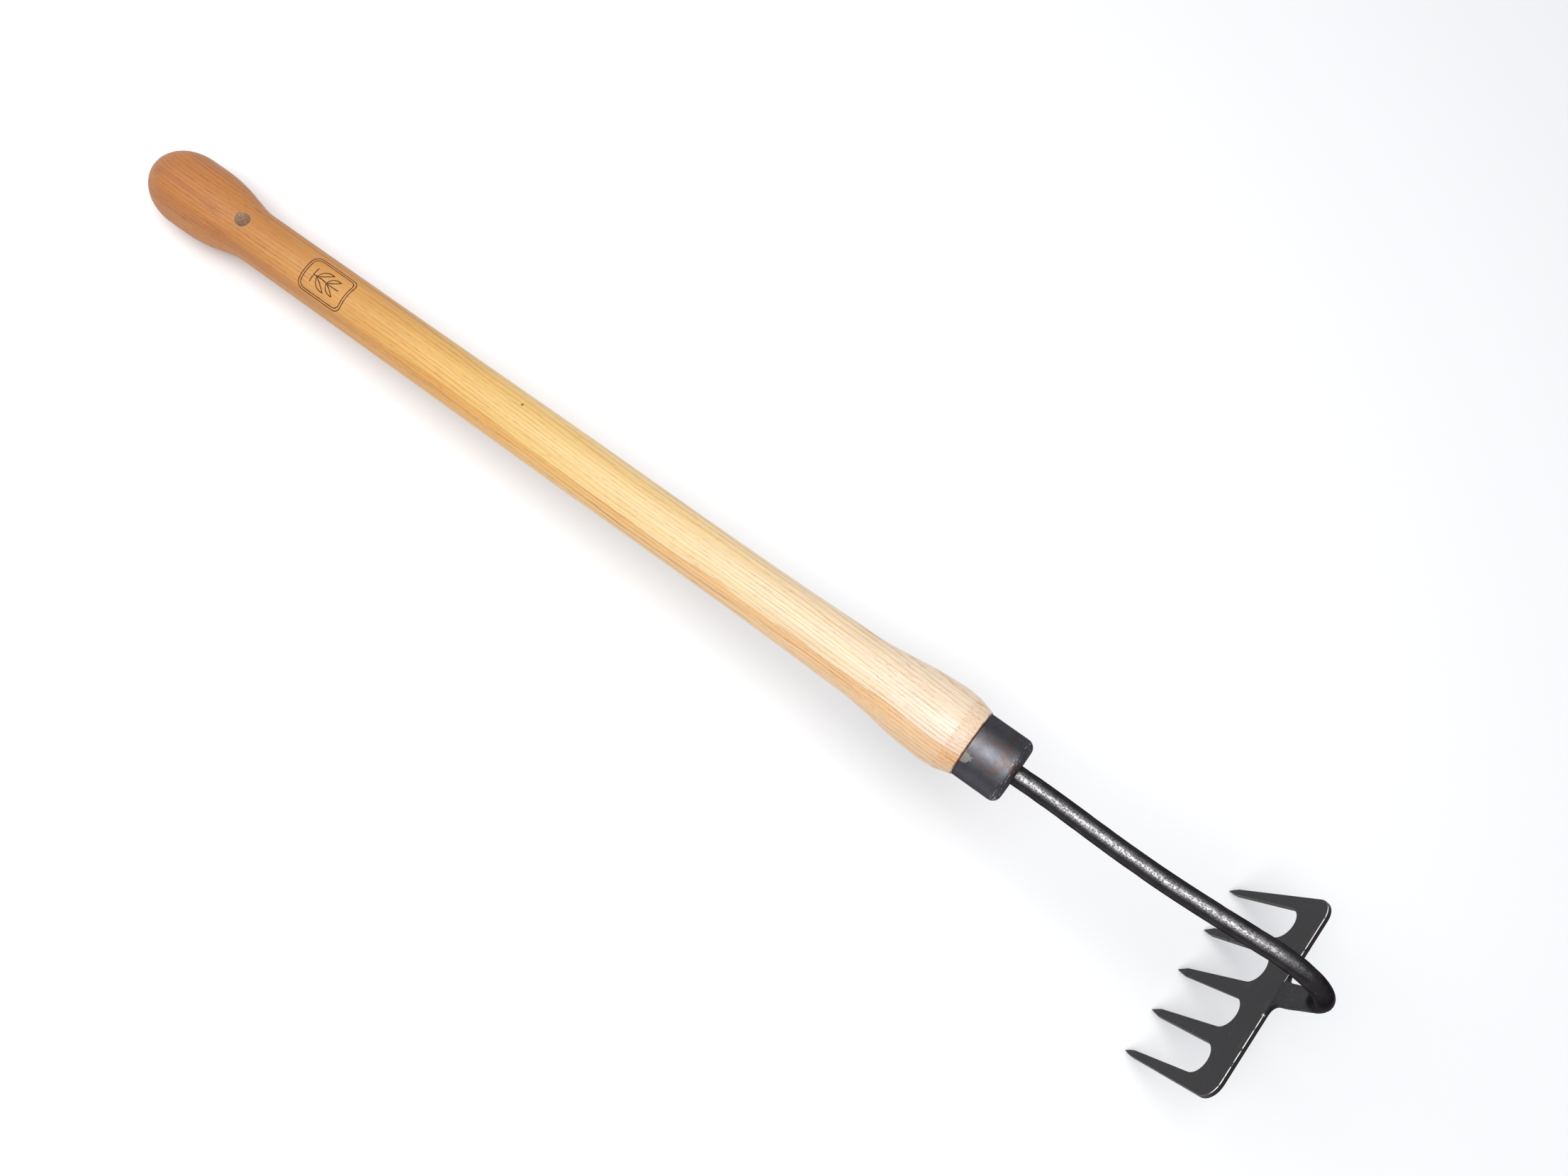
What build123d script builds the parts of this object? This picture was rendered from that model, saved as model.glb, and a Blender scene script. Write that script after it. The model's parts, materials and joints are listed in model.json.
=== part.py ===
"""Hand rake: a five-tine steel head on a gooseneck rod, in a long turned ash handle.

The tool lies as it would on a bench: on its five tine tips and on the knob of the handle.
+X runs towards the head, +Y across it, +Z up. The origin is the middle of the tool's box,
at bench height.
"""
from build123d import *
import math
import os

# ------------------------------------------------------------------ driving dimensions
# Millimetres and degrees. A station is a distance along the handle axis from the seam
# between the wood and the ferrule: negative in the wood, positive towards the head.

# Handle: (station, radius) points of the turned outline
knob_radius = 19.6
butt_centre = -495.0
butt_length = 24.0
knob_shoulder = [(-484.0, knob_radius), (-468.6, 18.0), (-459.8, 15.9), (-451.5, 14.15), (-443.0, 13.95)]
shaft_middle = (-260.0, 14.5)
shaft_end = (-75.0, 15.45)
shaft_slope = 0.008
barrel_swell = [(-58.0, 15.9), (-46.0, 17.2), (-34.0, 18.75)]
barrel_crest = (-15.0, 19.85)
chamfer_start = (-8.7, 19.4)
seam_radius = 16.9
hang_hole_station = -452.0
hang_hole_radius = 4.0

# Ferrule: a drawn steel cup that closes the end of the wood
ferrule_radius = 16.5
ferrule_length = 24.2
ferrule_wall = 1.5
ferrule_front_radius = 4.4
wood_fit = 0.05
spigot_chamfer = 3.2

# Neck: a round rod with a hidden tang, a gooseneck and a flattened tongue
rod_radius = 5.0
rod_hole_radius = 5.15
rod_skew = 1.25
bend_radius = 35.2
tang_length = 78.0
tang_point_radius = 2.2
tang_fit = 0.04
tang_end_gap = 1.0
waist_half_width = 6.2
waist_half_thickness = 3.3
tongue_width = 13.2
tongue_thickness = 3.4
tongue_trim = 0.5

# Head: a flat plate with tapered, pointed tines
plate_station = 181.5
plate_offset = -0.6
plate_drop = 68.0
tine_lean = 23.2
plate_thickness = 2.5
plate_half_width = 57.5
plate_corner_radius = 9.9
outer_shoulder = 52.9
tine_count = 5
root_pitch = 26.5
tip_pitch = 25.5
root_half_width = 4.6
shoulder_half_width = 2.2
root_depth = 27.7
notch_depth = 18.9
shoulder_depth = 76.5
tine_depth = 85.8
weld_leg = 5.2

# ------------------------------------------------------------------ how the tool rests
lean = math.radians(tine_lean)
tip_station = plate_station - tine_depth * math.sin(lean) + plate_thickness * math.cos(lean)
tip_drop = plate_drop + tine_depth * math.cos(lean) + plate_thickness * math.sin(lean)
tip_reach = math.hypot(tip_station - butt_centre, tip_drop)
tip_angle = math.atan2(tip_drop, tip_station - butt_centre)

# The butt is half an ellipsoid, so its lowest point depends a little on the angle
rest_angle = 0.0
for repeat in range(8):
    butt_support = math.hypot(butt_length * math.sin(rest_angle), knob_radius * math.cos(rest_angle))
    rest_angle = tip_angle - math.asin(butt_support / tip_reach)
cos_rest = math.cos(rest_angle)
sin_rest = math.sin(rest_angle)


def leaned(along, across, up):
    """A direction in the tool's own axes, as it points when the tool rests."""
    return Vector(along * cos_rest - up * sin_rest, across, along * sin_rest + up * cos_rest)


# Path of the rod, in its own plane: forward from the ferrule's front, and up
skew = math.radians(rod_skew)
plate_reach = (plate_station - ferrule_length) / math.cos(skew)
tongue_line = plate_drop / math.cos(lean)
bend_angle = 90.0 + tine_lean
bend_tangent = bend_radius * math.tan(math.radians(bend_angle / 2))
bend_start = plate_reach + tongue_line * math.sin(lean) - bend_tangent
tongue_length = tongue_line - bend_tangent

# Box of the resting tool: the butt at one end, the outside of the gooseneck at the other
butt_extent = math.hypot(butt_length * cos_rest, knob_radius * sin_rest)
tail_x = butt_centre * cos_rest - butt_extent
bend_station = ferrule_length + bend_start * math.cos(skew)
bend_swing = bend_radius * math.hypot(cos_rest * math.cos(skew), sin_rest)
nose_x = bend_station * cos_rest + bend_radius * sin_rest + bend_swing + rod_radius
seam_height = tip_drop * cos_rest - tip_station * sin_rest
seam_point = Vector(-(tail_x + nose_x) / 2, -plate_offset, seam_height)


def placed(station, across=0.0, up=0.0):
    """A point in the tool's own axes, where it is when the tool rests."""
    return seam_point + leaned(station, across, up)


# ------------------------------------------------------------------ working planes
handle_axis = Axis(seam_point, leaned(1, 0, 0))
side_plane = Plane(seam_point, x_dir=leaned(1, 0, 0), z_dir=Vector(0, -1, 0))

rod_start = placed(ferrule_length)
rod_direction = leaned(math.cos(skew), math.sin(skew), 0)
rod_axis = Axis(rod_start, rod_direction)
neck_plane = Plane(rod_start, x_dir=rod_direction, z_dir=leaned(math.sin(skew), -math.cos(skew), 0))

tine_direction = leaned(-math.sin(lean), 0, -math.cos(lean))
plate_normal = leaned(math.cos(lean), 0, -math.sin(lean))
plate_middle = placed(plate_station, plate_offset, -plate_drop)
plate_plane = Plane(plate_middle, x_dir=Vector(0, 1, 0), z_dir=plate_normal)


# ------------------------------------------------------------------ handle
spigot_length = ferrule_length - ferrule_wall - wood_fit
spigot_radius = ferrule_radius - ferrule_wall - wood_fit
butt_tip = (butt_centre - butt_length, 0)

with BuildPart() as handle:
    with BuildSketch(side_plane):
        with BuildLine():
            EllipticalCenterArc((butt_centre, 0), butt_length, knob_radius, start_angle=90, arc_size=90)
            Line((butt_centre, knob_radius), knob_shoulder[0])
            Spline(*knob_shoulder, tangents=[(1, 0), (1, 0)])
            Spline(knob_shoulder[-1], shaft_middle, shaft_end, tangents=[(1, 0), (1, shaft_slope)])
            Spline(shaft_end, *barrel_swell, barrel_crest, tangents=[(1, shaft_slope), (1, 0)])
            Line(barrel_crest, chamfer_start)
            Polyline(
                chamfer_start,
                (0, seam_radius),
                (0, spigot_radius),
                (spigot_length - spigot_chamfer, spigot_radius),
                (spigot_length, spigot_radius - spigot_chamfer),
                (spigot_length, 0),
                butt_tip,
            )
        make_face()
    revolve(axis=handle_axis)

    # Tapered hole that the tang is driven into
    with BuildSketch(neck_plane):
        Polygon(
            (-tang_length - tang_end_gap, 0),
            (-tang_length - tang_end_gap, tang_point_radius + tang_fit),
            (0, rod_radius + tang_fit),
            (0, 0),
            align=None,
        )
    revolve(axis=rod_axis, mode=Mode.SUBTRACT)

    # Hanging hole through the neck of the knob, in the same plane as the tines' drop
    with BuildSketch(Plane(placed(hang_hole_station), x_dir=Vector(0, 1, 0), z_dir=leaned(0, 0, 1))):
        Circle(hang_hole_radius)
    extrude(amount=2 * knob_radius, both=True, mode=Mode.SUBTRACT)
handle.part.label = "handle"


# ------------------------------------------------------------------ ferrule
inner_radius = ferrule_radius - ferrule_wall
inner_front = ferrule_length - ferrule_wall
inner_corner = ferrule_front_radius - ferrule_wall

with BuildPart() as ferrule:
    with BuildSketch(side_plane):
        with BuildLine():
            Polyline(
                (inner_front - inner_corner, inner_radius),
                (0, inner_radius),
                (0, ferrule_radius),
                (ferrule_length - ferrule_front_radius, ferrule_radius),
            )
            outer_centre = (ferrule_length - ferrule_front_radius, ferrule_radius - ferrule_front_radius)
            CenterArc(outer_centre, ferrule_front_radius, 0, 90)
            Polyline(
                (ferrule_length, ferrule_radius - ferrule_front_radius),
                (ferrule_length, rod_hole_radius),
                (inner_front, rod_hole_radius),
                (inner_front, inner_radius - inner_corner),
            )
            CenterArc((inner_front - inner_corner, inner_radius - inner_corner), inner_corner, 0, 90)
        make_face()
    revolve(axis=handle_axis)
ferrule.part.label = "ferrule"


# ------------------------------------------------------------------ neck rod
def tongue_section(distance):
    """Plane square to the tongue, a distance down it from the end of the bend."""
    forward = bend_start + bend_radius * math.cos(lean) - distance * math.sin(lean)
    drop = bend_radius * (1 + math.sin(lean)) + distance * math.cos(lean)
    level = math.sin(lean)
    down_tongue = leaned(-level * math.cos(skew), -level * math.sin(skew), -math.cos(lean))
    across = leaned(-math.sin(skew), math.cos(skew), 0)
    return Plane(neck_plane.from_local_coords((forward, -drop, 0)), x_dir=across, z_dir=down_tongue)


with BuildPart() as neck_rod:
    # Tang, tapered for driving into the wood
    with BuildSketch(neck_plane):
        Polygon((-tang_length, 0), (-tang_length, tang_point_radius), (0, rod_radius), (0, 0), align=None)
    revolve(axis=rod_axis)

    # Straight rod and gooseneck
    with BuildLine(neck_plane):
        Line((0, 0), (bend_start, 0))
        CenterArc((bend_start, -bend_radius), bend_radius, 90, -bend_angle)
    with BuildSketch(Plane(rod_start, z_dir=rod_direction)):
        Circle(rod_radius)
    sweep()

    # Tongue, forged from round to flat
    with BuildSketch(tongue_section(0)):
        Circle(rod_radius)
    with BuildSketch(tongue_section(tongue_length / 2)):
        with Locations((0, plate_thickness / 3)):
            Ellipse(waist_half_width, waist_half_thickness)
    with BuildSketch(tongue_section(tongue_length + tongue_trim)):
        with Locations((0, plate_thickness / 2)):
            Ellipse(tongue_width / 2, tongue_thickness / 2)
    loft()

    # The tongue's end is cut square to meet the back edge of the plate
    with BuildSketch(Plane(plate_plane.origin, x_dir=Vector(0, 1, 0), z_dir=tine_direction)):
        Rectangle(4 * tongue_width, 4 * tongue_thickness)
    extrude(amount=4 * tongue_trim, mode=Mode.SUBTRACT)
neck_rod.part.label = "neck_rod"


# ------------------------------------------------------------------ rake plate
def tine_middle(tine, depth):
    """Across position of a tine's middle line at a depth below the back edge."""
    pitch = root_pitch + (tip_pitch - root_pitch) * (depth - root_depth) / (tine_depth - root_depth)
    return (tine - (tine_count - 1) / 2) * pitch


with BuildPart() as rake_plate:
    with BuildSketch(plate_plane) as plate_outline:
        with BuildLine():
            last = tine_count - 1
            Polyline(
                (tine_middle(0, tine_depth), -tine_depth),
                (-outer_shoulder, -shoulder_depth),
                (-plate_half_width, 0),
                (plate_half_width, 0),
                (outer_shoulder, -shoulder_depth),
                (tine_middle(last, tine_depth), -tine_depth),
            )
            for tine in range(last):
                left_root = (tine_middle(tine, root_depth) + root_half_width, -root_depth)
                right_root = (tine_middle(tine + 1, root_depth) - root_half_width, -root_depth)
                notch_top = ((left_root[0] + right_root[0]) / 2, -notch_depth)
                Polyline(
                    (tine_middle(tine, tine_depth), -tine_depth),
                    (tine_middle(tine, shoulder_depth) + shoulder_half_width, -shoulder_depth),
                    left_root,
                )
                ThreePointArc(left_root, notch_top, right_root)
                Polyline(
                    right_root,
                    (tine_middle(tine + 1, shoulder_depth) - shoulder_half_width, -shoulder_depth),
                    (tine_middle(tine + 1, tine_depth), -tine_depth),
                )
        make_face()
        fillet(plate_outline.vertices().group_by(Axis.Y)[-1], radius=plate_corner_radius)
    extrude(amount=plate_thickness)
rake_plate.part.label = "rake_plate"


# ------------------------------------------------------------------ neck weld
# Two fillets of weld metal in the corners between the tongue and the plate's back edge
tongue_middle = plate_reach * math.sin(skew) - plate_offset

with BuildPart() as neck_weld:
    with BuildSketch(plate_plane):
        for side in (-1, 1):
            edge = tongue_middle + side * tongue_width / 2
            inside = edge - side * tongue_width / 4
            outside = edge + side * weld_leg
            with BuildLine():
                Polyline((edge, weld_leg), (inside, weld_leg), (inside, 0), (outside, 0))
                middle = weld_leg * (1 - math.sqrt(0.5))
                ThreePointArc((outside, 0), (edge + side * middle, middle), (edge, weld_leg))
            make_face()
    extrude(amount=plate_thickness)
    add(neck_rod.part, mode=Mode.SUBTRACT)
neck_weld.part.label = "neck_weld"


# ------------------------------------------------------------------ export
pieces = [handle, ferrule, neck_rod, rake_plate, neck_weld]

os.makedirs("parts", exist_ok=True)
for piece in pieces:
    export_step(piece.part, f"parts/{piece.part.label}.step")
    box = piece.part.bounding_box()
    print(piece.part.label, "volume", round(piece.part.volume), "low", box.min, "high", box.max)
print("rest angle", round(math.degrees(rest_angle), 3), "seam point", seam_point)
print("bend start", round(bend_start, 2), "tongue length", round(tongue_length, 2))
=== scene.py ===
"""Looks of the hand rake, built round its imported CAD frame.

Every piece is modelled in the tool's own axes, in millimetres: x is the station along the
handle from the seam between the wood and the ferrule, y is across, z is up, away from the
tines. One matrix puts the pieces where the CAD tool rests.
"""
import json
import math

import bmesh
import bpy
import numpy as np
from mathutils import Matrix, Vector, noise


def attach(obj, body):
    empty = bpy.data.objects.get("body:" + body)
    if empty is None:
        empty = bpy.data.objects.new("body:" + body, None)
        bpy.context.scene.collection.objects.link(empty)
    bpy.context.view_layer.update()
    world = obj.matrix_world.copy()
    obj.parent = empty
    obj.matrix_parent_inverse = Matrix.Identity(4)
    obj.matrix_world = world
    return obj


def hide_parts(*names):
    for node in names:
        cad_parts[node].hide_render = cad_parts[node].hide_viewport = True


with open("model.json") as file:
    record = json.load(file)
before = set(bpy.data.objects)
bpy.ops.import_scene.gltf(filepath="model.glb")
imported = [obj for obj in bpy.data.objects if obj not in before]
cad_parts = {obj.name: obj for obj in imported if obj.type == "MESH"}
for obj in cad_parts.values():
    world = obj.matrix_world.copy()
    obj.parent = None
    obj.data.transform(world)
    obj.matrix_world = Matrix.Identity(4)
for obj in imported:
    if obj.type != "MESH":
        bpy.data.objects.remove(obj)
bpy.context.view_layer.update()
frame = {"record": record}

# ------------------------------------------------------------------ the tool's own axes
HOLE_STATION = -452.0
MM = 0.001
hang_hole = frame["record"]["mounts"][0]
UP = Vector(hang_hole["axis"])
ACROSS = Vector((0, 1, 0))
ALONG = ACROSS.cross(UP)
SEAM = Vector(hang_hole["pos_m"]) - ALONG * HOLE_STATION * MM
TOOL = Matrix.Translation(SEAM) @ Matrix((ALONG, ACROSS, UP)).transposed().to_4x4()


def placed(x, y, z):
    """A point of the tool, in millimetres, as a place in the scene."""
    return TOOL @ Vector((x * MM, y * MM, z * MM))


# ------------------------------------------------------------------ dimensions, as in the CAD
BUTT_CENTRE = -495.0
BUTT_LENGTH = 24.0
KNOB_RADIUS = 19.6
OUTLINE = [
    (-495.0, 19.6), (-484.0, 19.6), (-468.6, 18.0), (-459.8, 15.9), (-451.5, 14.15), (-443.0, 13.95),
    (-260.0, 14.5), (-75.0, 15.45), (-58.0, 15.9), (-46.0, 17.2), (-34.0, 18.75), (-15.0, 19.85),
]
CHAMFER_START = (-8.7, 19.4)
SEAM_RADIUS = 16.9
SPIGOT_RADIUS = 14.95
SPIGOT_LENGTH = 22.65
FERRULE_RADIUS = 16.5
FERRULE_LENGTH = 24.2
FERRULE_WALL = 1.5
FERRULE_ROUND = 4.4
FERRULE_INNER_ROUND = 2.9
FERRULE_HOLE = 5.15
ROD_RADIUS = 5.0
ROD_SKEW = math.radians(1.25)
ROD_BOW = 1.05
BEND_RADIUS = 35.2
TANG_LENGTH = 78.0
TANG_POINT = 2.2
TANG_FIT = 0.04
TANG_END_GAP = 1.0
PLATE_STATION = 181.5
PLATE_DROP = 68.0
TINE_LEAN = math.radians(23.2)
PLATE_THICKNESS = 2.5
PLATE_OFFSET = -0.6
PLATE_HALF_WIDTH = 57.5
PLATE_CORNER = 9.9
OUTER_SHOULDER = 52.9
TINES = 5
ROOT_PITCH = 26.5
TIP_PITCH = 25.5
ROOT_HALF_WIDTH = 4.6
SHOULDER_HALF_WIDTH = 2.2
ROOT_DEPTH = 27.7
NOTCH_DEPTH = 18.9
SHOULDER_DEPTH = 76.5
TINE_DEPTH = 85.8
TINE_TIP_THINNING = 0.6
PLATE_EDGE_ROUND = 0.38
TONGUE_HALF_WIDTH = 6.5
TONGUE_HALF_THICKNESS = 1.30
TONGUE_OVERLAP = 0.9
WELD_LEG = 5.2

# Path of the neck in its own plane, which is turned a little to one side
PLATE_REACH = (PLATE_STATION - FERRULE_LENGTH) / math.cos(ROD_SKEW)
TONGUE_LINE = PLATE_DROP / math.cos(TINE_LEAN)
BEND_ANGLE = math.pi / 2 + TINE_LEAN
BEND_TANGENT = BEND_RADIUS * math.tan(BEND_ANGLE / 2)
BEND_START = PLATE_REACH + TONGUE_LINE * math.sin(TINE_LEAN) - BEND_TANGENT
TONGUE_LENGTH = TONGUE_LINE - BEND_TANGENT


# ------------------------------------------------------------------ mesh helpers
def add_piece(name, verts, faces, materials, smooth_angle=40):
    """A mesh piece from points in tool millimetres, placed at the tool."""
    mesh = bpy.data.meshes.new(name)
    mesh.from_pydata([placed(*v) for v in verts], [], faces)
    mesh.validate()
    piece = bpy.data.objects.new(name, mesh)
    bpy.context.scene.collection.objects.link(piece)
    for material in materials:
        mesh.materials.append(material)
    tidy_normals(piece, smooth_angle)
    return piece


def tidy_normals(piece, smooth_angle):
    """Outward faces, shaded smooth except over sharp edges."""
    edit = bmesh.new()
    edit.from_mesh(piece.data)
    bmesh.ops.recalc_face_normals(edit, faces=edit.faces)
    limit = math.radians(smooth_angle)
    for edge in edit.edges:
        edge.smooth = not edge.is_manifold or edge.calc_face_angle(0) < limit
    for face in edit.faces:
        face.smooth = True
    edit.to_mesh(piece.data)
    edit.free()


def apply_modifiers(piece):
    """Bakes a piece's modifiers into its mesh."""
    bpy.context.view_layer.update()
    depsgraph = bpy.context.evaluated_depsgraph_get()
    mesh = bpy.data.meshes.new_from_object(piece.evaluated_get(depsgraph))
    piece.modifiers.clear()
    piece.data = mesh


def turn_angles(segments, start=0.0):
    """Evenly spaced angles round a circle; start is a share of a segment."""
    return [2 * math.pi * (k + start) / segments for k in range(segments)]


def ring_faces(rings, segments, closed=False):
    """Quads between neighbouring rings of a tube, and between the last and first if closed."""
    faces = []
    for ring in range(rings if closed else rings - 1):
        a = ring * segments
        b = (ring + 1) % rings * segments
        for k in range(segments):
            n = (k + 1) % segments
            faces.append((a + k, a + n, b + n, b + k))
    return faces


def tube_faces(rings, segments, base=0):
    """Faces of a tube with both ends closed, whose first vertex has the number base."""
    faces = [tuple(base + corner for corner in quad) for quad in ring_faces(rings, segments)]
    last = base + (rings - 1) * segments
    faces.append(tuple(range(base, base + segments)))
    faces.append(tuple(range(last + segments - 1, last - 1, -1)))
    return faces


def smooth_curve(points, x):
    """Height at x of a smooth curve through the points, with level ends."""
    px, py = np.array(points).T
    steps = np.diff(px)
    chords = np.diff(py) / steps
    slopes = np.zeros(len(px))
    slopes[1:-1] = (chords[:-1] * steps[1:] + chords[1:] * steps[:-1]) / (steps[1:] + steps[:-1])
    crest = chords[:-1] * chords[1:] <= 0
    slopes[1:-1][crest] = 0
    i = int(np.clip(np.searchsorted(px, x) - 1, 0, len(px) - 2))
    t = (x - px[i]) / steps[i]
    lift = py[i] * (1 + 2 * t) * (1 - t) ** 2 + py[i + 1] * t * t * (3 - 2 * t)
    return lift + steps[i] * (slopes[i] * t * (1 - t) ** 2 - slopes[i + 1] * t * t * (1 - t))


def ripple(point, scale, seed):
    """Smooth noise, about -1 to 1, with features of the given size."""
    return noise.noise(Vector(point) / scale + Vector((seed, 0, 0)))


def blend_in(low, high, x):
    """Smooth step from 0 at low to 1 at high."""
    t = min(max((x - low) / (high - low), 0), 1)
    return t * t * (3 - 2 * t)


# ------------------------------------------------------------------ shader helpers
class Shader:
    """A procedural material, wired by passing sockets from call to call."""

    def __init__(self, name):
        self.material = bpy.data.materials.new(name)
        self.material.use_nodes = True
        self.nodes = self.material.node_tree.nodes
        self.links = self.material.node_tree.links
        self.surface = self.nodes["Principled BSDF"]
        to_tool = self.nodes.new("ShaderNodeMapping")
        to_tool.vector_type = "TEXTURE"
        to_tool.inputs["Location"].default_value = SEAM
        to_tool.inputs["Rotation"].default_value = TOOL.to_euler()
        coordinates = self.nodes.new("ShaderNodeTexCoord")
        self.links.new(coordinates.outputs["Object"], to_tool.inputs["Vector"])
        self.place = to_tool.outputs["Vector"]
        self.normal = coordinates.outputs["Normal"]

    def feed(self, socket, value):
        if isinstance(value, bpy.types.NodeSocket):
            self.links.new(value, socket)
        elif value is not None:
            socket.default_value = value

    def stretch(self, scale, at=None):
        node = self.nodes.new("ShaderNodeMapping")
        self.feed(node.inputs["Vector"], at or self.place)
        node.inputs["Scale"].default_value = scale
        return node.outputs["Vector"]

    def noise(self, scale, at=None, detail=2.0, rough=0.5, warp=0.0, colour=False):
        node = self.nodes.new("ShaderNodeTexNoise")
        self.feed(node.inputs["Vector"], at or self.place)
        node.inputs["Scale"].default_value = scale
        node.inputs["Detail"].default_value = detail
        node.inputs["Roughness"].default_value = rough
        node.inputs["Distortion"].default_value = warp
        return node.outputs["Color" if colour else "Fac"]

    def streaks(self, scale, at=None, **options):
        """Noise with its own fineness along each axis of the tool."""
        return self.noise(1.0, at=self.stretch(scale, at), **options)

    def math(self, operation, a, b=None):
        node = self.nodes.new("ShaderNodeMath")
        node.operation = operation
        self.feed(node.inputs[0], a)
        self.feed(node.inputs[1], b)
        return node.outputs["Value"]

    def plus(self, total, *terms):
        for term in terms:
            total = self.math("ADD", total, term)
        return total

    def times(self, product, *factors):
        for factor in factors:
            product = self.math("MULTIPLY", product, factor)
        return product

    def swing(self, value, size):
        """Centres a 0..1 value on zero and scales it to the given size."""
        return self.times(self.math("SUBTRACT", value, 0.5), size)

    def vector(self, operation, a, b):
        node = self.nodes.new("ShaderNodeVectorMath")
        node.operation = operation
        self.feed(node.inputs[0], a)
        self.feed(node.inputs[1], b)
        return node.outputs["Value" if operation in ("DISTANCE", "DOT_PRODUCT") else "Vector"]

    def facing(self, direction):
        """How nearly the surface faces a direction given in the tool's axes."""
        turned = TOOL.to_3x3() @ Vector(direction).normalized()
        return self.vector("DOT_PRODUCT", self.normal, tuple(turned))

    def split(self, value):
        node = self.nodes.new("ShaderNodeSeparateXYZ")
        self.feed(node.inputs[0], value)
        return node.outputs["X"], node.outputs["Y"], node.outputs["Z"]

    def span(self, value, low, high, to_low=0.0, to_high=1.0):
        """Maps low..high to to_low..to_high, smoothly, and holds it outside."""
        node = self.nodes.new("ShaderNodeMapRange")
        node.interpolation_type = "SMOOTHSTEP"
        self.feed(node.inputs["Value"], value)
        node.inputs["From Min"].default_value = low
        node.inputs["From Max"].default_value = high
        node.inputs["To Min"].default_value = to_low
        node.inputs["To Max"].default_value = to_high
        return node.outputs["Result"]

    def ramp(self, fac, stops):
        node = self.nodes.new("ShaderNodeValToRGB")
        self.feed(node.inputs["Fac"], fac)
        elements = node.color_ramp.elements
        while len(elements) < len(stops):
            elements.new(0.5)
        for element, (position, colour) in zip(elements, stops):
            element.position = position
            element.color = (*colour, 1)
        return node.outputs["Color"]

    def mix(self, fac, a, b, blend="MIX"):
        node = self.nodes.new("ShaderNodeMix")
        node.data_type = "RGBA"
        node.blend_type = blend
        self.feed(node.inputs[0], fac)
        self.feed(node.inputs[6], a if isinstance(a, bpy.types.NodeSocket) else (*a, 1))
        self.feed(node.inputs[7], b if isinstance(b, bpy.types.NodeSocket) else (*b, 1))
        return node.outputs[2]

    def shade(self, fac, colour, by):
        """Multiplies a colour by another one, as far as fac says."""
        return self.mix(fac, colour, by, "MULTIPLY")

    def bump(self, height, strength, distance, normal=None):
        node = self.nodes.new("ShaderNodeBump")
        node.inputs["Strength"].default_value = strength
        node.inputs["Distance"].default_value = distance
        self.feed(node.inputs["Height"], height)
        if normal is not None:
            self.feed(node.inputs["Normal"], normal)
        return node.outputs["Normal"]

    def finish(self, colour, roughness, normal=None, **constants):
        self.feed(self.surface.inputs["Base Color"], colour)
        self.feed(self.surface.inputs["Roughness"], roughness)
        if normal is not None:
            self.feed(self.surface.inputs["Normal"], normal)
        for name, value in constants.items():
            self.surface.inputs[name.replace("_", " ")].default_value = value
        return self.material


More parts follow.
